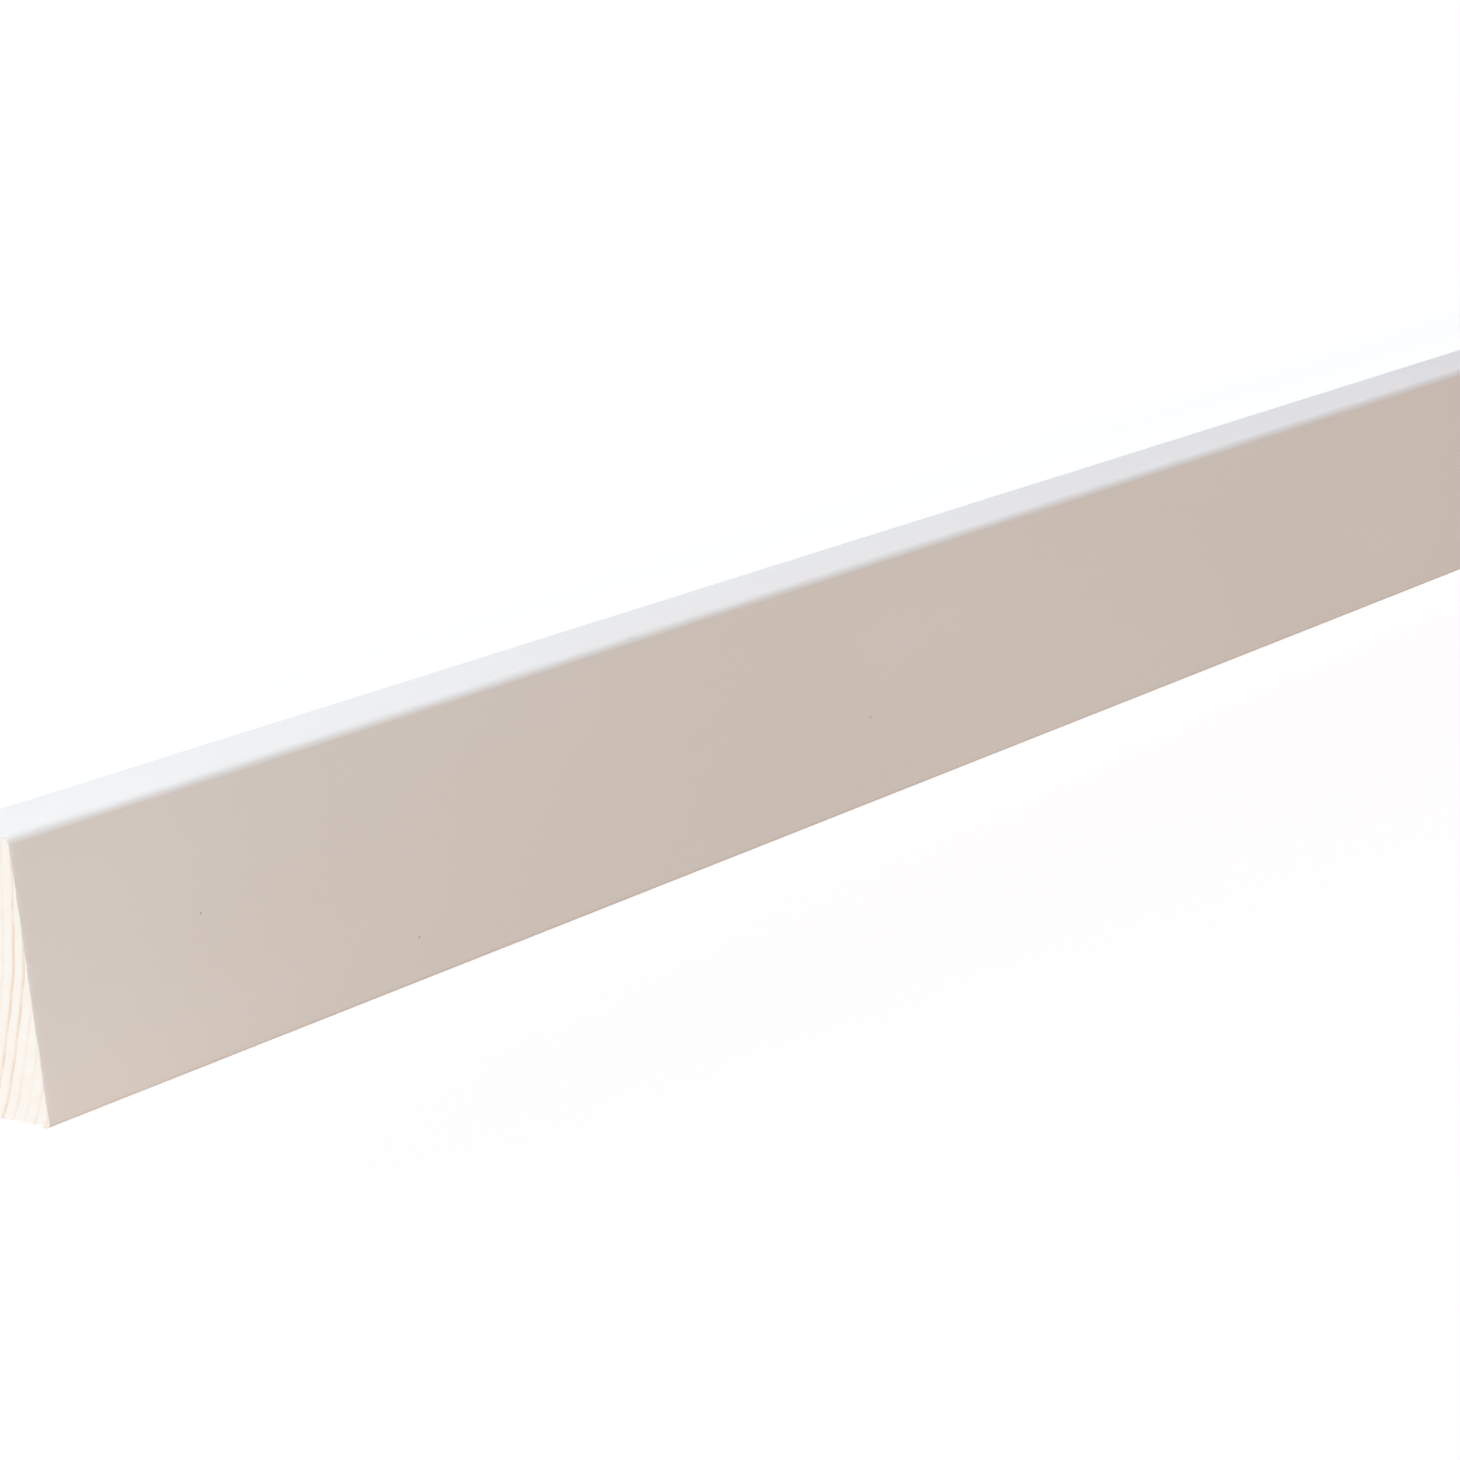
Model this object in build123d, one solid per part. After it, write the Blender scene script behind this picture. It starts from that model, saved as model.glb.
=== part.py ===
"""Edge trim strip: one length of planed softwood with a slanted front, eased edges and square-sawn ends.

It lies on its flat back. X runs along the length with the photographed end at -X, +Y points to the thin edge,
and +Z points out of the front face. The origin is under the middle of the back face.
"""
import os

from build123d import *

# Driving dimensions, in millimetres
LENGTH = 2400.0
WIDTH = 42.0
THICK_EDGE = 18.0
THIN_EDGE = 12.0
FRONT_THIN_RADIUS = 1.5
FRONT_THICK_RADIUS = 0.6
BACK_RADIUS = 0.6

# Section corners as (across, up): the back and both edges are square, and only the front slants
half_width = WIDTH / 2
corners = [
    (-half_width, 0.0),
    (half_width, 0.0),
    (half_width, THIN_EDGE),
    (-half_width, THICK_EDGE),
]

with BuildPart() as strip:
    # Section, in the plane across the length: the sketch's own X is across and its own Y is up
    with BuildSketch(Plane.YZ) as section:
        Polygon(*corners, align=None)
        back_arrises = [v for v in section.vertices() if v.Y < THIN_EDGE / 2]
        fillet(back_arrises, radius=BACK_RADIUS)
        front_thin_arris = [v for v in section.vertices() if abs(v.Y - THIN_EDGE) < 1e-6 and v.X > 0]
        fillet(front_thin_arris, radius=FRONT_THIN_RADIUS)
        front_thick_arris = [v for v in section.vertices() if abs(v.Y - THICK_EDGE) < 1e-6]
        fillet(front_thick_arris, radius=FRONT_THICK_RADIUS)
    # Stock: the section is drawn out along the length, and both ends are cut square
    extrude(amount=LENGTH / 2, both=True)

trim_strip = strip.part
trim_strip.label = "trim_strip"
os.makedirs("parts", exist_ok=True)
export_step(trim_strip, "parts/trim_strip.step")

box = trim_strip.bounding_box()
print("solids", len(trim_strip.solids()), "faces", len(trim_strip.faces()))
print("box", [round(value, 3) for value in (*box.min, *box.max)])
print("volume in cubic centimetres", round(trim_strip.volume / 1000, 2))
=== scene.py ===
# %% [markdown]
# # An edge trim strip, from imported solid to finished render
# The object is one length of softwood trim. Its front slants, its long edges are eased so that paint holds
# on them, its long faces are painted white, and its two ends are left as the saw cut them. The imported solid
# gives the sizes and the place. The lesson models the same strip again with finer edges and real sawn ends,
# because a solid that is stored as a few coarse triangles can't carry them.

import math

import bmesh
import bpy
from mathutils import Matrix, Vector, geometry, noise


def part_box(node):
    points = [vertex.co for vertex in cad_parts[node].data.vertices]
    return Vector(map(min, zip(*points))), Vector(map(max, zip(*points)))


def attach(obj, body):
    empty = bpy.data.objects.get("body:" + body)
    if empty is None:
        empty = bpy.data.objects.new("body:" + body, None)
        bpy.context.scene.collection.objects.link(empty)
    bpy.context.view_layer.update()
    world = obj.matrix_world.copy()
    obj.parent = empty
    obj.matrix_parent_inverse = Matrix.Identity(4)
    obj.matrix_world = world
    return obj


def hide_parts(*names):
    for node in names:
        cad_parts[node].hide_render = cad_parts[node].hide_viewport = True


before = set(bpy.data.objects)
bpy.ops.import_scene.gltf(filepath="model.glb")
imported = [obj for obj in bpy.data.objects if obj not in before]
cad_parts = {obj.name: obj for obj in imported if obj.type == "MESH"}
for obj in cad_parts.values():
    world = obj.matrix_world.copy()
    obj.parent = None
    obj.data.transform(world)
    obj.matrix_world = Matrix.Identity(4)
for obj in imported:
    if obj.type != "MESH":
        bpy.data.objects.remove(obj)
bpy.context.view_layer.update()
low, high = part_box("trim_strip")
print("packed strip, mm:", [round(size * 1000, 2) for size in high - low])

# %% [markdown]
# ## The section
# Every length of trim starts as a section, the shape that the moulding cutter leaves. Here the back and both
# edges are square and only the front slants, from a thick edge to a thin one. The section could be traced as
# a long list of points. Four corner vertices and one face are enough, because a vertex bevel can round each
# corner afterwards, and then the radius stays a number that can be changed.

# %% Four corners of the section
MM = 0.001
THICK_EDGE = 18.0 * MM
THIN_EDGE = 12.0 * MM

strip = bmesh.new()
back_thick = strip.verts.new((low.x, low.y, low.z))
back_thin = strip.verts.new((low.x, high.y, low.z))
front_thin = strip.verts.new((low.x, high.y, low.z + THIN_EDGE))
front_thick = strip.verts.new((low.x, low.y, low.z + THICK_EDGE))
section = strip.faces.new((back_thick, back_thin, front_thin, front_thick))
print("square section, mm2:", round(section.calc_area() / MM**2, 1))

# %% [markdown]
# ## Eased edges
# A planed edge is sharp, and paint would draw back from it and chip. The maker therefore rounds every long
# edge: the front edge at the thin side by 1.5 mm, where a hand meets it, and the others only enough to break
# the corner. The bevel operator asks how far along each side an arc starts, so the radius is turned into that
# tangent length first. Ten steps to an arc look round even in a close view.

# %% Ease the corners
FRONT_THIN_RADIUS = 1.5 * MM
SMALL_RADIUS = 0.6 * MM
ARC_STEPS = 10


def ease(corner, radius):
    """Rounds one corner of the section to a radius."""
    first, second = [edge.other_vert(corner).co - corner.co for edge in corner.link_edges]
    tangent = radius / math.tan(first.angle(second) / 2)
    bmesh.ops.bevel(
        strip, geom=[corner], offset=tangent, offset_type="OFFSET", affect="VERTICES",
        segments=ARC_STEPS, profile=0.5, material=-1,
    )


for corner in (back_thick, back_thin, front_thick):
    ease(corner, SMALL_RADIUS)
ease(front_thin, FRONT_THIN_RADIUS)
strip.faces.ensure_lookup_table()
section = strip.faces[0]
outline = [loop.vert.co.yz.copy() for loop in section.loops]
print("eased section:", len(outline), "points,", round(section.calc_area() / MM**2, 1), "mm2")

# %% [markdown]
# ## Drawing out the stock
# A moulding machine pushes the timber past the cutter, so the whole length has one section. An extrusion does
# the same: the face is copied, the copy moves to the far end, and the sides follow. The long sides are then
# cut across into eight equal lengths. Nothing shows there, but a paint texture can later be laid out in eight
# short rows, where one row 2.4 m long would waste nearly all of a square picture.

# %% Draw the section out and mark it into lengths
ROWS = 8
ROW_LENGTH = (high.x - low.x) / ROWS
CUT_TOLERANCE = 0.0001 * MM


def cut(faces, place, across):
    """Cuts only these faces by a plane, and returns the faces that are there afterwards."""
    parts = set(faces)
    for face in faces:
        parts.update(face.edges)
        parts.update(face.verts)
    made = bmesh.ops.bisect_plane(
        strip, geom=list(parts), dist=CUT_TOLERANCE, plane_co=place, plane_no=across,
    )
    return [part for part in made["geom"] if isinstance(part, bmesh.types.BMFace)]


drawn = bmesh.ops.extrude_face_region(strip, geom=[section])
far_verts = [part for part in drawn["geom"] if isinstance(part, bmesh.types.BMVert)]
bmesh.ops.translate(strip, vec=(high.x - low.x, 0, 0), verts=far_verts)
bmesh.ops.recalc_face_normals(strip, faces=strip.faces[:])
for row in range(1, ROWS):
    cut(strip.faces[:], (low.x + row * ROW_LENGTH, 0, 0), (1, 0, 0))
print("stock:", len(strip.faces), "faces,", round(strip.calc_volume() * 1e6, 1), "cm3")

# %% [markdown]
# ## Growth rings
# A softwood trunk adds a pale band in spring and a thin dark line in late summer. This strip was sawn flat, a
# little over 100 mm from the heart of the tree, so the rings cross its ends as shallow arcs. A ring is a
# question of distance from the heart line, plus a slow waver along the trunk. The formula is written once in
# Python, where it will shape the sawn wood, and again in nodes, where it will colour it, so the two agree.

# %% Where a growth ring runs
HEART_Y = 18.0 * MM
HEART_Z = -106.0 * MM
RING_PITCH = 1.9 * MM
RING_SHIFT = 0.42 * MM
# Each waver is a height, a wave along the trunk, a wave across it and a phase
WAVERS = (
    (1.40 * MM, 0.95, 0.40, 1.65),
    (0.30 * MM, 0.23, 0.075, 0.60),
    (0.10 * MM, 0.061, 0.019, 2.30),
    (0.05 * MM, 0.017, 0.0063, 0.90),
)
RISE_START, RISE_END = 0.55, 0.90
FALL_START, FALL_END = 0.93, 0.99


def smooth_step(value, start, end):
    """A soft rise from 0 to 1 between two values."""
    share = min(max((value - start) / (end - start), 0.0), 1.0)
    return share * share * (3.0 - 2.0 * share)


def late_wood(place):
    """How much of the dark late wood there is at a point, from 0 to 1."""
    radius = math.hypot(place.y - HEART_Y, place.z - HEART_Z) + RING_SHIFT
    for height, along, over, phase in WAVERS:
        radius += height * math.sin(math.tau * (place.x / along + place.y / over) + phase)
    share = (radius / RING_PITCH) % 1.0
    return smooth_step(share, RISE_START, RISE_END) - smooth_step(share, FALL_START, FALL_END)


print("late wood at the near end's middle:", round(late_wood(Vector((low.x, 0, high.z / 2))), 2))

# %% [markdown]
# ## The edge of a saw cut
# Where a saw leaves painted wood, the film breaks in small bites and the rim is never a clean line. To shape
# that, the last millimetre at each end becomes a collar with many narrow faces, and only the rim's points are
# pushed inwards by a little noise. Noise textures can't do this, since the outline itself has to change.

# %% Cut a fine collar at each end
COLLAR = 1.2 * MM
COLLAR_STEP = 0.45 * MM
# A face whose normal leans further along the strip than this belongs to an end
END_LEAN = 0.5
# Each end has its place along the strip and the direction that leads into the strip
ENDS = ((low.x, 1), (high.x, -1))


def steps_between(start, end, step):
    """Even places between two ends, about one step apart, without the ends themselves."""
    count = max(round((end - start) / step), 1)
    return [start + (end - start) * index / count for index in range(1, count)]


def runs_along(face):
    """Whether a face belongs to the long sides and not to an end."""
    return abs(face.normal.x) < END_LEAN


def collar_faces(end_x):
    """The narrow long faces next to one end."""
    return [
        face for face in strip.faces
        if abs(face.calc_center_median().x - end_x) < COLLAR and runs_along(face)
    ]


for end_x, inward in ENDS:
    near_rows = [face for face in strip.faces if abs(face.calc_center_median().x - end_x) < ROW_LENGTH]
    cut(near_rows, (end_x + inward * COLLAR, 0, 0), (1, 0, 0))
    faces = collar_faces(end_x)
    for y in steps_between(low.y + SMALL_RADIUS, high.y - FRONT_THIN_RADIUS, COLLAR_STEP):
        faces = cut(faces, (0, y, 0), (0, 1, 0))
    for z in steps_between(low.z + SMALL_RADIUS, high.z - SMALL_RADIUS, COLLAR_STEP):
        faces = cut(faces, (0, 0, z), (0, 0, 1))
    print("collar at", round(end_x, 2), "m:", len(faces), "faces")

# %% Break the rim of the cut
RIM_BITE = 0.80 * MM
BITE_SIZES = (0.8 * MM, 4.5 * MM)
FINE_SHARE, BROAD_SHARE = 0.45, 0.7
BITE_MEAN, BITE_LEAST = 0.25, 0.05
CAP_REACH = COLLAR / 4


def cap_of(end_x):
    """The one face that closes an end."""
    return max(
        (face for face in strip.faces if abs(face.calc_center_median().x - end_x) < CAP_REACH),
        key=lambda face: face.calc_area(),
    )


for end_x, inward in ENDS:
    for vert in cap_of(end_x).verts:
        fine, broad = [noise.noise(vert.co / size) for size in BITE_SIZES]
        bite = max(BITE_MEAN + FINE_SHARE * fine + BROAD_SHARE * broad, BITE_LEAST)
        vert.co.x += inward * RIM_BITE * bite
    print("rim at", round(end_x, 2), "m:", len(cap_of(end_x).verts), "points broken")

# %% [markdown]
# ## The cut paint film and the sawn wood
# Seen from the end, the coats of paint are a hair-thin white line round the wood. An inset of the end face
# gives that line a real width, and the face inside it becomes the wood. The wood is cut into a fine grid, and
# its points sink by up to a tenth of a millimetre: the late wood stays proud because it is hard, the soft
# early wood is crushed, and the saw teeth leave arcs. Real relief also reaches the printed or exported mesh.

# %% Inset the paint film and cut the wood into a grid
PAINT_FILM = 0.12 * MM
FILM_RECESS = 0.02 * MM
GRID_STEP = 0.24 * MM
# The paint is the piece's first material, and the wood is its second
WOOD = 1

wood_faces = {}
for end_x, inward in ENDS:
    cap = cap_of(end_x)
    bmesh.ops.inset_region(strip, faces=[cap], thickness=PAINT_FILM, use_even_offset=True, use_boundary=True)
    for vert in cap.verts:
        vert.co.x = end_x + inward * FILM_RECESS
    faces = [cap]
    for y in steps_between(low.y, high.y, GRID_STEP):
        faces = cut(faces, (0, y, 0), (0, 1, 0))
    for z in steps_between(low.z, high.z, GRID_STEP):
        faces = cut(faces, (0, 0, z), (0, 0, 1))
    for face in faces:
        face.material_index = WOOD
    wood_faces[end_x] = faces
    print("wood at", round(end_x, 2), "m:", len(faces), "faces")

# %% Sink the early wood and the saw marks
SAW_Y, SAW_Z = 35.0 * MM, 160.0 * MM
SAW_PITCH = 1.3 * MM
EARLY_DEPTH = 0.030 * MM
SAW_DEPTH = 0.012 * MM
TORN_DEPTH = 0.020 * MM
TORN_SIZE = 0.7 * MM


def sawn_depth(place):
    """How far the saw left a point of an end below the plane of the cut."""
    from_arbor = math.hypot(place.y - SAW_Y, place.z - SAW_Z)
    tooth = 0.5 + 0.5 * math.sin(math.tau * from_arbor / SAW_PITCH)
    torn = 0.5 + 0.5 * noise.noise(place / TORN_SIZE)
    return EARLY_DEPTH * (1.0 - late_wood(place)) + SAW_DEPTH * tooth + TORN_DEPTH * torn


for end_x, inward in ENDS:
    inside = {vert for face in wood_faces[end_x] for vert in face.verts}
    inside = {vert for vert in inside if all(face.material_index == WOOD for face in vert.link_faces)}
    depths = {vert: sawn_depth(vert.co) for vert in inside}
    for vert, depth in depths.items():
        vert.co.x = end_x + inward * (FILM_RECESS + depth)
    print("sawn relief, mm:", round(min(depths.values()) / MM, 3), "to", round(max(depths.values()) / MM, 3))

# %% [markdown]
# ## A flat layout for the paint
# An exported model carries its finish in one square picture, and a map says which part of the picture each
# face reads. An automatic unwrap would give the two sawn ends almost no room, since they are tiny beside the
# long faces. Here the eight lengths are unrolled into two columns of four, and the ends take the strip that
# is left, enlarged five times, so that their rings stay sharp.

# %% Unroll the faces into rows
COLUMNS = 2
MAP_GAP = 6.0 * MM
MAP_SIDE = COLUMNS * ROW_LENGTH + (COLUMNS + 1) * MAP_GAP
END_SCALE = 5.0

sides = list(zip(outline, outline[1:] + outline[:1]))
side_starts = [sum((end - start).length for start, end in sides[:index]) for index in range(len(sides))]
girth = sum((end - start).length for start, end in sides)


def around(place):
    """How far round the section a point lies, in metres."""
    best_gap, best_run = math.inf, 0.0
    for (start, end), run in zip(sides, side_starts):
        share = geometry.intersect_point_line(place.yz, start, end)[1]
        share = min(max(share, 0.0), 1.0)
        gap = (place.yz - start.lerp(end, share)).length
        if gap < best_gap:
            best_gap, best_run = gap, run + share * (end - start).length
    return best_run


def map_corner(column, level):
    """Where a row begins in the map, across and upwards, in metres."""
    return MAP_GAP + column * (ROW_LENGTH + MAP_GAP), MAP_GAP + level * (girth + MAP_GAP)


def unroll(face, layer):
    """Gives a long face its place in the rows."""
    row = min(int((face.calc_center_median().x - low.x) / ROW_LENGTH), ROWS - 1)
    left, bottom = map_corner(row % COLUMNS, row // COLUMNS)
    runs = [around(loop.vert.co) for loop in face.loops]
    crosses_start = max(runs) - min(runs) > girth / 2
    for loop, run in zip(face.loops, runs):
        if crosses_start and run < girth / 2:
            run += girth
        across = left + loop.vert.co.x - low.x - row * ROW_LENGTH
        loop[layer].uv = (across / MAP_SIDE, (bottom + run) / MAP_SIDE)


def lay_end(face, layer, column):
    """Gives a face of a sawn end its place in the last strip of the map."""
    left, bottom = map_corner(column, ROWS // COLUMNS)
    for loop in face.loops:
        across = left + (loop.vert.co.y - low.y) * END_SCALE
        upward = bottom + loop.vert.co.z * END_SCALE
        loop[layer].uv = (across / MAP_SIDE, upward / MAP_SIDE)


strip.normal_update()
bake_map = strip.loops.layers.uv.new("OFBake")
for face in strip.faces:
    if runs_along(face):
        unroll(face, bake_map)
    else:
        lay_end(face, bake_map, 0 if face.calc_center_median().x < 0 else 1)
top_of_map = max(loop[bake_map].uv.y for face in strip.faces for loop in face.loops)
print("map: girth", round(girth / MM, 1), "mm, filled up to", round(top_of_map, 3))

# %% [markdown]
# ## From bmesh to a finished piece
# Long flat faces next to narrow arcs shade badly when every vertex averages its faces evenly: the flats look
# puffed. The Weighted Normal modifier lets the large flat faces decide, so the flats stay flat and only the
# arcs turn. Edges sharper than 35 degrees, which are those round the saw cuts, are marked so that they stay
# crisp.

# %% Make the strip an object
SHARP = math.radians(35)

for edge in strip.edges:
    edge.smooth = edge.calc_face_angle(0.0) < SHARP
for face in strip.faces:
    face.smooth = True
open_edges = sum(len(edge.link_faces) != 2 for edge in strip.edges)
strip_mesh = bpy.data.meshes.new("trim_strip_painted")
strip.to_mesh(strip_mesh)
strip.free()
trim_strip = bpy.data.objects.new("trim_strip_painted", strip_mesh)
bpy.context.scene.collection.objects.link(trim_strip)
level_flats = trim_strip.modifiers.new("level_flats", "WEIGHTED_NORMAL")
level_flats.keep_sharp = True
strip_mesh.calc_loop_triangles()
print("piece:", len(strip_mesh.loop_triangles), "triangles,", open_edges, "open edges")

# %% [markdown]
# ## Small helpers for node trees
# A material is a chain of small sums, and writing each node by hand hides the idea. These helpers add a node,
# feed its sockets with numbers or with other nodes' outputs, and hand back the output, so that a finish reads
# like a recipe. All patterns use Object coordinates, which are metres on this piece.

# %% Add and feed nodes
def new_node(tree, kind, **settings):
    """Adds a node and sets its options."""
    node = tree.nodes.new(kind)
    for name, value in settings.items():
        setattr(node, name, value)
    return node


def feed(tree, socket, source):
    """Links a socket to another node's output, or gives it a plain value."""
    if isinstance(source, bpy.types.NodeSocket):
        tree.links.new(source, socket)
    else:
        socket.default_value = source


def work_out(tree, operation, first, second=0.0, third=0.0):
    """One step of arithmetic."""
    node = new_node(tree, "ShaderNodeMath", operation=operation)
    for socket, source in zip(node.inputs, (first, second, third)):
        feed(tree, socket, source)
    return node.outputs["Value"]


print("nodes can be added and fed")

# %% Ranges, mixes and patterns
# Places of the colour sockets on a Mix node
MIX_SHARE, MIX_FIRST, MIX_SECOND = 0, 6, 7
MIX_RESULT = 2


def soft_range(tree, value, start, end, to_start=0.0, to_end=1.0):
    """A soft change from one value to another while the input goes from start to end."""
    node = new_node(tree, "ShaderNodeMapRange", interpolation_type="SMOOTHSTEP")
    names = ("Value", "From Min", "From Max", "To Min", "To Max")
    for name, source in zip(names, (value, start, end, to_start, to_end)):
        feed(tree, node.inputs[name], source)
    return node.outputs["Result"]


def mix_colour(tree, share, first, second):
    """Goes from one colour to another by a share."""
    node = new_node(tree, "ShaderNodeMix", data_type="RGBA")
    for index, source in ((MIX_SHARE, share), (MIX_FIRST, first), (MIX_SECOND, second)):
        feed(tree, node.inputs[index], source)
    return node.outputs[MIX_RESULT]


def mottle(tree, place, size, stretch=(1.0, 1.0, 1.0), detail=2.0):
    """Cloudy noise from 0 to 1, with spots of about a size in metres, stretched along an axis if wanted."""
    scaled = new_node(tree, "ShaderNodeMapping")
    scaled.inputs["Scale"].default_value = [1.0 / (size * factor) for factor in stretch]
    feed(tree, scaled.inputs["Vector"], place)
    cloud = new_node(tree, "ShaderNodeTexNoise")
    cloud.inputs["Scale"].default_value = 1.0
    cloud.inputs["Detail"].default_value = detail
    feed(tree, cloud.inputs["Vector"], scaled.outputs["Vector"])
    return cloud.outputs["Fac"]


def flat_distance(tree, place, axes, target):
    """How far a point lies from a target, measured only along the axes that are marked with a one."""
    flat = new_node(tree, "ShaderNodeVectorMath", operation="MULTIPLY")
    flat.inputs[1].default_value = axes
    feed(tree, flat.inputs[0], place)
    gap = new_node(tree, "ShaderNodeVectorMath", operation="DISTANCE")
    gap.inputs[1].default_value = target
    feed(tree, gap.inputs[0], flat.outputs["Vector"])
    return gap.outputs["Value"]


print("ranges, mixes and patterns are ready")

# %% Start a material and raise its surface
def start_tree(owner, output_kind):
    """Empties the nodes of a material or a world, and returns them with the socket that is drawn."""
    owner.use_nodes = True
    tree = owner.node_tree
    tree.nodes.clear()
    return tree, new_node(tree, output_kind).inputs["Surface"]


def start_material(name):
    """A new material, with its tree, its shader and its Object coordinates."""
    material = bpy.data.materials.new(name)
    tree, surface = start_tree(material, "ShaderNodeOutputMaterial")
    shader = new_node(tree, "ShaderNodeBsdfPrincipled")
    tree.links.new(shader.outputs["BSDF"], surface)
    place = new_node(tree, "ShaderNodeTexCoord").outputs["Object"]
    return material, tree, shader, place


def raise_surface(tree, shader, height):
    """Bumps a shader by a height in metres."""
    bump = new_node(tree, "ShaderNodeBump")
    bump.inputs["Distance"].default_value = 1.0
    feed(tree, bump.inputs["Height"], height)
    tree.links.new(bump.outputs["Normal"], shader.inputs["Normal"])


print("materials can be started")

# %% [markdown]
# ## The rings again, as nodes
# This is the same distance and the same wavers as before, now worked out by the shader for every point it
# draws. It hands back the late wood, and a strength that is the same all along one ring. Good and poor
# summers follow each other in a slow swing, so some lines are strong and their neighbours faint.

# %% Growth rings in nodes
YEAR_STEP, YEAR_PHASE = 1.3, 2.0
IN_SECTION = (0.0, 1.0, 1.0)


def ring_nodes(tree, place):
    """The late wood at a point, and how good that ring's summer was, from 0 to 1."""
    from_heart = flat_distance(tree, place, IN_SECTION, (0.0, HEART_Y, HEART_Z))
    radius = work_out(tree, "ADD", from_heart, RING_SHIFT)
    for height, along, over, phase in WAVERS:
        wave = new_node(tree, "ShaderNodeVectorMath", operation="DOT_PRODUCT")
        wave.inputs[1].default_value = (math.tau / along, math.tau / over, 0.0)
        feed(tree, wave.inputs[0], place)
        swing = work_out(tree, "SINE", work_out(tree, "ADD", wave.outputs["Value"], phase))
        radius = work_out(tree, "MULTIPLY_ADD", swing, height, radius)
    rings = work_out(tree, "DIVIDE", radius, RING_PITCH)
    share = work_out(tree, "FRACT", rings)
    rise = soft_range(tree, share, RISE_START, RISE_END)
    fall = soft_range(tree, share, FALL_START, FALL_END)
    year = work_out(tree, "MULTIPLY_ADD", work_out(tree, "FLOOR", rings), YEAR_STEP, YEAR_PHASE)
    summer = work_out(tree, "MULTIPLY_ADD", work_out(tree, "SINE", year), 0.5, 0.5)
    return work_out(tree, "SUBTRACT", rise, fall), summer


print("rings every", round(RING_PITCH / MM, 2), "mm, heart", round(-HEART_Z / MM), "mm below the back")

# %% [markdown]
# ## Bare end grain
# Freshly sawn softwood is cream, with thin peach lines of late wood and a faint speckle where the cells were
# cut open. The lines fade in and out, because the light catches them differently where the saw tore them. A
# wood photograph would give this at once, but it would show its edges. The recipe below is drawn from the
# ring formula, so the arcs fit the strip and continue along it.

# %% Sawn wood
EARLY_CREAM = (0.925, 0.878, 0.795, 1.0)
EARLY_PALE = (0.935, 0.900, 0.838, 1.0)
LATE_PEACH = (0.840, 0.665, 0.500, 1.0)
MIDDLE_NOISE = (0.3, 0.7)
EARLY_PATCH = 3.0 * MM
TORN_PATCH, TORN_RANGE = 3.5 * MM, (0.35, 0.65)
SUMMER_RANGE = (0.1, 0.9)
FAINTEST_PATCH, FAINTEST_RING = 0.45, 0.22
CELL_SIZE, CELL_HEIGHT = 0.25 * MM, 0.015 * MM
CELL_STRETCH = (8.0, 1.0, 1.0)
FLECK_RANGE, FLECK_STRENGTH = (0.52, 0.72), 0.24
WOOD_ROUGHNESS = (0.70, 0.88)

sawn_wood, tree, shader, place = start_material("sawn_wood")
late, summer = ring_nodes(tree, place)
patchy = soft_range(tree, mottle(tree, place, TORN_PATCH), *TORN_RANGE, FAINTEST_PATCH, 1.0)
yearly = soft_range(tree, summer, *SUMMER_RANGE, FAINTEST_RING, 1.0)
strength = work_out(tree, "MULTIPLY", patchy, yearly)
speckle = mottle(tree, place, CELL_SIZE, stretch=CELL_STRETCH, detail=3.0)
pale_patches = soft_range(tree, mottle(tree, place, EARLY_PATCH), *MIDDLE_NOISE)
early = mix_colour(tree, pale_patches, EARLY_CREAM, EARLY_PALE)
ringed = mix_colour(tree, work_out(tree, "MULTIPLY", late, strength), early, LATE_PEACH)
fleck = soft_range(tree, speckle, *FLECK_RANGE, 0.0, FLECK_STRENGTH)
feed(tree, shader.inputs["Base Color"], mix_colour(tree, fleck, ringed, LATE_PEACH))
feed(tree, shader.inputs["Roughness"], soft_range(tree, speckle, *MIDDLE_NOISE, *WOOD_ROUGHNESS))
raise_surface(tree, shader, work_out(tree, "MULTIPLY", speckle, CELL_HEIGHT))
print("sawn wood:", len(tree.nodes), "nodes")

# %% [markdown]
# ## White satin paint
# The long faces have two sprayed coats of white. Close up, such paint isn't one colour: it is a little
# creamier where it lies thin, the grain below it still shows as a faint ripple along the length, and droplets
# leave a fine orange peel. At the arrises the film is thin and picks up dirt in handling, in patches at most
# of them. Along the front arris at the thick edge a darker line runs all the way, which is painted shade
# where that eased edge turns from the light, laid over the dirt there. A few specks of dust dried into the
# paint. Each of these is a line or two below, with its size named above it in millimetres.

# %% Layers of the paint
PAINT_WHITE = (0.865, 0.845, 0.820, 1.0)
PAINT_CREAM = (0.850, 0.822, 0.790, 1.0)
CLOUD_SIZE, CLOUD_STRETCH = 45.0 * MM, (2.5, 1.0, 1.0)
FIBRE_SIZE, FIBRE_STRETCH = 0.35 * MM, (60.0, 1.0, 1.0)
PEEL_SIZE = 0.9 * MM

white_paint, tree, shader, place = start_material("white_satin_paint")
late, summer = ring_nodes(tree, place)
clouds = soft_range(tree, mottle(tree, place, CLOUD_SIZE, stretch=CLOUD_STRETCH), *MIDDLE_NOISE)
fibres = mottle(tree, place, FIBRE_SIZE, stretch=FIBRE_STRETCH, detail=3.0)
peel = mottle(tree, place, PEEL_SIZE, detail=1.0)
coat = mix_colour(tree, clouds, PAINT_WHITE, PAINT_CREAM)
print("paint layers: clouds, fibres, peel")

# %% Rubbed arrises, and painted shade along the front arris at the thick edge
RUB_AND_SHADE_GREY = (0.450, 0.425, 0.400, 1.0)
RUB_AND_SHADE_STRENGTH = 0.35
RUB_PATCH, RUB_STRETCH = 2.0 * MM, (5.0, 1.0, 1.0)
RUB_RANGE = (0.60, 0.75)
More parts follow.
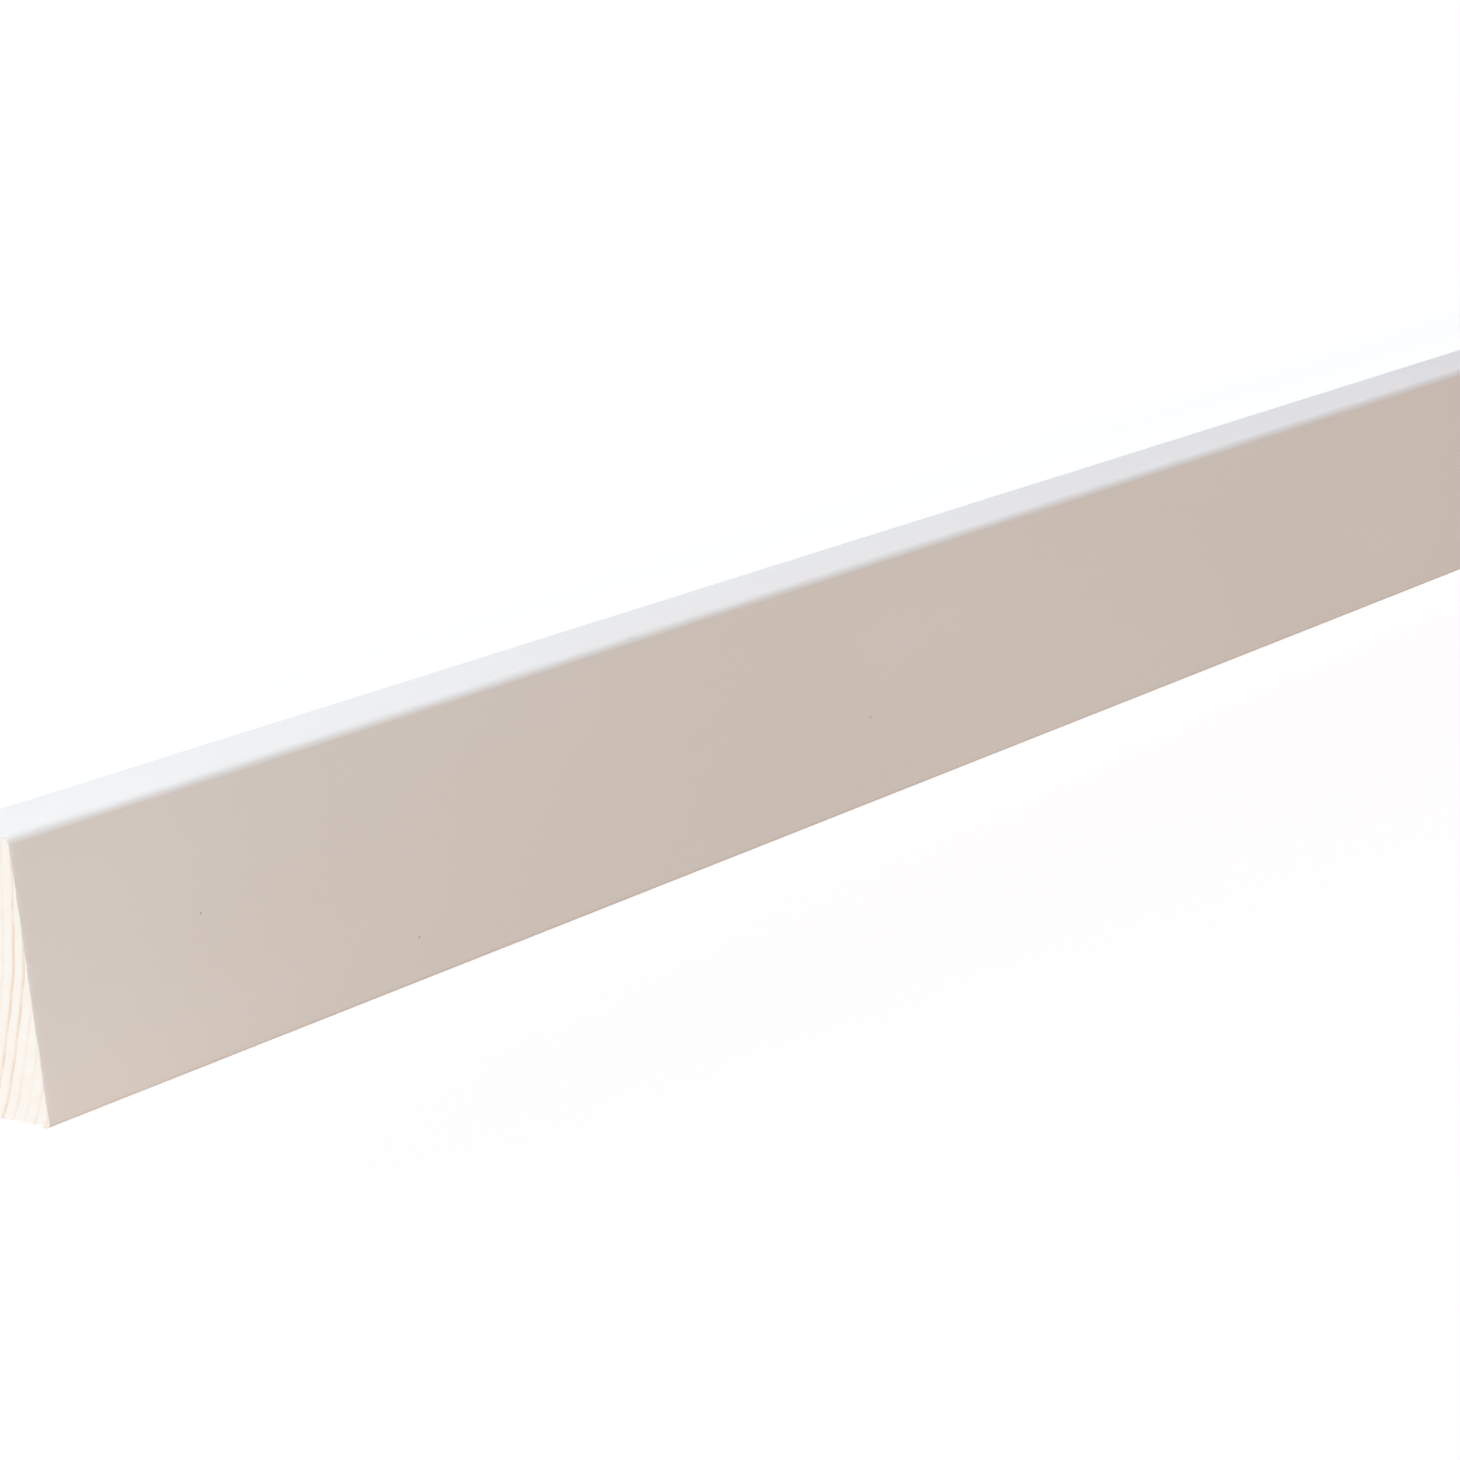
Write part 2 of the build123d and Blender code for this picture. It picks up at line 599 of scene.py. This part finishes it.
# Each arris has its place in the section, where the rub is full and where it ends, and its least strength
ARRISES = (
    # The front arris at the thick edge never drops below 0.85: painted shade all along that eased edge
    (low.y, low.z + THICK_EDGE, 0.28 * MM, 0.62 * MM, 0.85),
    (high.y, low.z + THIN_EDGE, 0.45 * MM, 0.60 * MM, 0.0),
    (low.y, low.z, 0.25 * MM, 0.50 * MM, 0.0),
    (high.y, low.z, 0.25 * MM, 0.50 * MM, 0.0),
)

rub_noise = mottle(tree, place, RUB_PATCH, stretch=RUB_STRETCH, detail=4.0)
rub_patches = soft_range(tree, rub_noise, *RUB_RANGE)
rubbed_and_shaded = 0.0
for y, z, full, none, least in ARRISES:
    gap = flat_distance(tree, place, IN_SECTION, (0.0, y, z))
    near = soft_range(tree, gap, full, none, 1.0, 0.0)
    worn_and_shaded = work_out(tree, "MULTIPLY", near, work_out(tree, "MAXIMUM", rub_patches, least))
    rubbed_and_shaded = work_out(tree, "MAXIMUM", worn_and_shaded, rubbed_and_shaded)
# Mixes in the grey: dirt in patches at the arrises, and painted shade all along the thick edge's front arris
coat = mix_colour(tree, work_out(tree, "MULTIPLY", rubbed_and_shaded, RUB_AND_SHADE_STRENGTH), coat, RUB_AND_SHADE_GREY)
print("rubbed arrises:", len(ARRISES))

# %% Specks of dust
SPECK_BROWN = (0.270, 0.215, 0.180, 1.0)
SPECK_RADIUS = 0.16 * MM
SPECK_STRENGTH = 0.4
FROM_ABOVE = (1.0, 1.0, 0.0)
# Each speck has its distance from the near end and its place across the strip, in millimetres
SPECKS = (
    (38.3, 1.3), (223.1, -6.1), (88.5, -14.1), (511.0, 9.4), (742.5, -3.2), (960.0, 15.1), (1188.4, -11.7),
    (1403.7, 5.5), (1655.2, -17.0), (1840.9, 12.6), (2077.3, -0.8), (2290.6, 7.9),
)

in_speck = 0.0
for from_end, y in SPECKS:
    gap = flat_distance(tree, place, FROM_ABOVE, (low.x + from_end * MM, y * MM, 0.0))
    near = soft_range(tree, gap, SPECK_RADIUS, 2 * SPECK_RADIUS, 1.0, 0.0)
    in_speck = work_out(tree, "MAXIMUM", near, in_speck)
coat = mix_colour(tree, work_out(tree, "MULTIPLY", in_speck, SPECK_STRENGTH), coat, SPECK_BROWN)
print("specks:", len(SPECKS))

# %% Colour, gloss and relief of the paint
GLOSS_PATCH, GLOSS_STRETCH = 12.0 * MM, (3.0, 1.0, 1.0)
PAINT_ROUGHNESS = (0.475, 0.505)
RUB_DULLNESS = 0.2
RING_HEIGHT = 0.004 * MM
FIBRE_HEIGHT = 0.010 * MM
PEEL_HEIGHT = 0.022 * MM
SPECK_HEIGHT = 0.020 * MM

feed(tree, shader.inputs["Base Color"], coat)
gloss_noise = mottle(tree, place, GLOSS_PATCH, stretch=GLOSS_STRETCH)
gloss = soft_range(tree, gloss_noise, *MIDDLE_NOISE, *PAINT_ROUGHNESS)
feed(tree, shader.inputs["Roughness"], work_out(tree, "MULTIPLY_ADD", rubbed_and_shaded, RUB_DULLNESS, gloss))
height = work_out(tree, "MULTIPLY", work_out(tree, "MULTIPLY", late, summer), RING_HEIGHT)
for layer, rise in ((fibres, FIBRE_HEIGHT), (peel, PEEL_HEIGHT), (in_speck, SPECK_HEIGHT)):
    height = work_out(tree, "MULTIPLY_ADD", layer, rise, height)
raise_surface(tree, shader, height)
strip_mesh.materials.append(white_paint)
strip_mesh.materials.append(sawn_wood)
print("paint:", len(tree.nodes), "nodes on", [material.name for material in strip_mesh.materials])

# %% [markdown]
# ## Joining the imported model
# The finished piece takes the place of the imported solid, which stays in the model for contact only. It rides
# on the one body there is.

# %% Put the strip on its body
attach(trim_strip, "root")
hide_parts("trim_strip")
print("strip rides on root and stands for trim_strip")

# %% [markdown]
# ## Floor and surroundings
# The strip lies on a plain white floor. A white that is only lit would need lamps that burn out the paint, so
# the floor glows for the camera and for mirror rays, and plain diffuse light still sees an ordinary pale
# surface. Near the strip a part of the floor's brightness stays real light, and so the strip keeps its
# shadow. Further off the glow takes over, since low lamps would draw hard lines on the floor beneath them.
# The world does the same: white to the camera, and a soft warm room to everything that it lights.

# %% Helpers for the floor and the room
SHADOW_REACH, SHADOW_END = 0.15, 0.50


def seen_directly(tree):
    """One for rays from the camera, and for mirror and glass rays, else nothing."""
    path = new_node(tree, "ShaderNodeLightPath")
    seen = work_out(tree, "MAXIMUM", path.outputs["Is Camera Ray"], path.outputs["Is Glossy Ray"])
    return work_out(tree, "MAXIMUM", seen, path.outputs["Is Transmission Ray"])


def away_from_strip(tree):
    """Nothing close to the strip, and one where the floor is only white."""
    split = new_node(tree, "ShaderNodeSeparateXYZ")
    feed(tree, split.inputs["Vector"], new_node(tree, "ShaderNodeTexCoord").outputs["Object"])
    past_end = work_out(tree, "SUBTRACT", work_out(tree, "ABSOLUTE", split.outputs["X"]), high.x)
    aside = work_out(tree, "MAXIMUM", past_end, work_out(tree, "ABSOLUTE", split.outputs["Y"]))
    return soft_range(tree, aside, SHADOW_REACH, SHADOW_END)


def plain_shader(tree, kind, colour):
    """Adds a shader of one colour and hands back its output."""
    node = new_node(tree, kind)
    node.inputs["Color"].default_value = colour
    return node.outputs[0]


def mix_shaders(tree, share, first, second):
    """Goes from one shader to another by a share."""
    node = new_node(tree, "ShaderNodeMixShader")
    for socket, source in zip(node.inputs, (share, first, second)):
        feed(tree, socket, source)
    return node.outputs["Shader"]


print("floor is plain white from", SHADOW_END, "m off")

# %% White floor paint that keeps a shadow
FLOOR_GLOW = (0.812, 0.838, 0.865, 1.0)
FLOOR_SHOWN = (0.34, 0.34, 0.34, 1.0)
FLOOR_PALE = (0.78, 0.78, 0.78, 1.0)
PLAIN_WHITE = (1.0, 1.0, 1.0, 1.0)

floor_paint = bpy.data.materials.new("white_floor")
tree, surface = start_tree(floor_paint, "ShaderNodeOutputMaterial")
lit = plain_shader(tree, "ShaderNodeBsdfDiffuse", FLOOR_PALE)
shown = plain_shader(tree, "ShaderNodeBsdfDiffuse", FLOOR_SHOWN)
glow = plain_shader(tree, "ShaderNodeEmission", FLOOR_GLOW)
white = plain_shader(tree, "ShaderNodeEmission", PLAIN_WHITE)
both = new_node(tree, "ShaderNodeAddShader")
tree.links.new(shown, both.inputs[0])
tree.links.new(glow, both.inputs[1])
to_camera = mix_shaders(tree, away_from_strip(tree), both.outputs["Shader"], white)
tree.links.new(mix_shaders(tree, seen_directly(tree), lit, to_camera), surface)
print("floor paint:", len(tree.nodes), "nodes")

# %% Lay the floor
FLOOR_SIDE = 40.0
FLOOR_DROP = 0.1 * MM

floor_sheet = bmesh.new()
bmesh.ops.create_grid(floor_sheet, x_segments=1, y_segments=1, size=FLOOR_SIDE / 2)
bmesh.ops.translate(floor_sheet, vec=(0, 0, low.z - FLOOR_DROP), verts=floor_sheet.verts[:])
floor_mesh = bpy.data.meshes.new("floor")
floor_sheet.to_mesh(floor_mesh)
floor_sheet.free()
floor_mesh.materials.append(floor_paint)
floor = bpy.data.objects.new("floor", floor_mesh)
bpy.context.scene.collection.objects.link(floor)
print("floor:", FLOOR_SIDE, "m square")

# %% Soft warm room
ROOM_LIGHT = (0.22, 0.188, 0.168, 1.0)

world = bpy.data.worlds.new("soft_room")
bpy.context.scene.world = world
tree, surface = start_tree(world, "ShaderNodeOutputWorld")
room = plain_shader(tree, "ShaderNodeBackground", ROOM_LIGHT)
white = plain_shader(tree, "ShaderNodeBackground", PLAIN_WHITE)
tree.links.new(mix_shaders(tree, seen_directly(tree), room, white), surface)
print("room light:", ROOM_LIGHT[:3])

# %% [markdown]
# ## Lamps
# A cool softbox, low like a window, stands beyond the near end on the side of the thin edge. It lights that
# edge and the sawn end, skims the front, and fades along the strip. A long, bluer one beside the strip keeps
# the far half of the thin edge from going dark. A warm card high over the thick edge's side gives the front
# its beige cast, and because it can't reach the eased edge above the front, that edge shades off in one clean
# step. A low cool card on the same side takes the orange off the thick edge, and stands too low to reach the
# slanted front. A small card before each end brings the bare wood up to its pale cream, and a weak warm glow
# close over the near corner of the thick edge lifts that corner of the front a little above the rest.

# %% A softbox
def softbox(name, place, target, width, height, power, colour):
    """A lamp with a soft rectangular face, turned to a point."""
    lamp = bpy.data.lights.new(name, "AREA")
    lamp.shape = "RECTANGLE"
    lamp.size = width
    lamp.size_y = height
    lamp.energy = power
    lamp.color = colour
    stand = bpy.data.objects.new(name, lamp)
    stand.location = place
    stand.visible_camera = False
    stand.rotation_euler = (Vector(target) - Vector(place)).to_track_quat("-Z", "Y").to_euler()
    bpy.context.scene.collection.objects.link(stand)


print("a softbox is ready to be placed")

# %% Place the lamps
MIDDLE_HEIGHT = 10.0 * MM

near_end = Vector((low.x, 0.0, MIDDLE_HEIGHT))
far_end = Vector((high.x, 0.0, MIDDLE_HEIGHT))
softbox(
    "window", near_end + Vector((-0.70, 0.95, 0.24)), near_end,
    width=0.9, height=0.4, power=10.85, colour=(0.86, 0.98, 1.0),
)
softbox(
    "side_fill", (0.0, 2.0, 0.3), (0.0, 0.0, 0.0),
    width=3.2, height=0.5, power=18.5, colour=(0.71, 0.76, 1.0),
)
softbox(
    "warm_card", (-0.4, -1.3, 1.5), (-0.4, 0.0, 0.0),
    width=2.6, height=1.0, power=17.4, colour=(1.0, 0.67, 0.42),
)
softbox(
    "thick_fill", (0.3, -2.0, 0.12), (0.3, 0.0, MIDDLE_HEIGHT),
    width=3.0, height=0.2, power=11.0, colour=(0.62, 0.80, 1.0),
)
softbox(
    "end_card", near_end + Vector((-0.55, -0.30, 0.14)), near_end,
    width=0.4, height=0.25, power=1.62, colour=(0.86, 0.87, 1.0),
)
softbox(
    "far_card", far_end + Vector((0.55, -0.30, 0.14)), far_end,
    width=0.4, height=0.25, power=1.71, colour=(1.0, 0.97, 0.93),
)
softbox(
    "corner_glow", near_end + Vector((0.0, -0.05, 0.05)), near_end,
    width=0.03, height=0.03, power=0.0028, colour=(1.0, 0.84, 0.72),
)

# %% [markdown]
# ## The camera
# The picture was taken with a long lens from beyond the near end, with the strip's width upright. The strip
# lies down here, so the camera looks down on it and its own upright is the strip's width. A long lens makes
# the far end shrink only a little. The numbers come from matching the strip's four long lines and its sawn
# end.

# %% Camera at the photographed angle
CAMERA_PLACE = Vector((-1.71153, 0.20256, 0.47199))
CAMERA_YAW = math.radians(33.487)
CAMERA_PITCH = math.radians(13.717)
LENS_LENGTH, SENSOR_WIDTH = 123.637, 36.0
NEAREST, FURTHEST = 0.02, 100.0

forward = Vector((
    math.cos(CAMERA_PITCH) * math.cos(CAMERA_YAW),
    -math.sin(CAMERA_PITCH),
    -math.cos(CAMERA_PITCH) * math.sin(CAMERA_YAW),
))
right = forward.cross(Vector((0, 1, 0))).normalized()
upright = right.cross(forward)
lens = bpy.data.cameras.new("photo_camera")
lens.lens = LENS_LENGTH
lens.sensor_width = SENSOR_WIDTH
lens.clip_start = NEAREST
lens.clip_end = FURTHEST
camera = bpy.data.objects.new("photo_camera", lens)
turned = Matrix((right, upright, -forward)).transposed()
camera.matrix_world = Matrix.Translation(CAMERA_PLACE) @ turned.to_4x4()
bpy.context.scene.collection.objects.link(camera)
bpy.context.scene.camera = camera
bpy.context.scene.view_settings.view_transform = "Standard"
print("camera at", [round(value, 3) for value in CAMERA_PLACE], "with a", LENS_LENGTH, "mm lens")
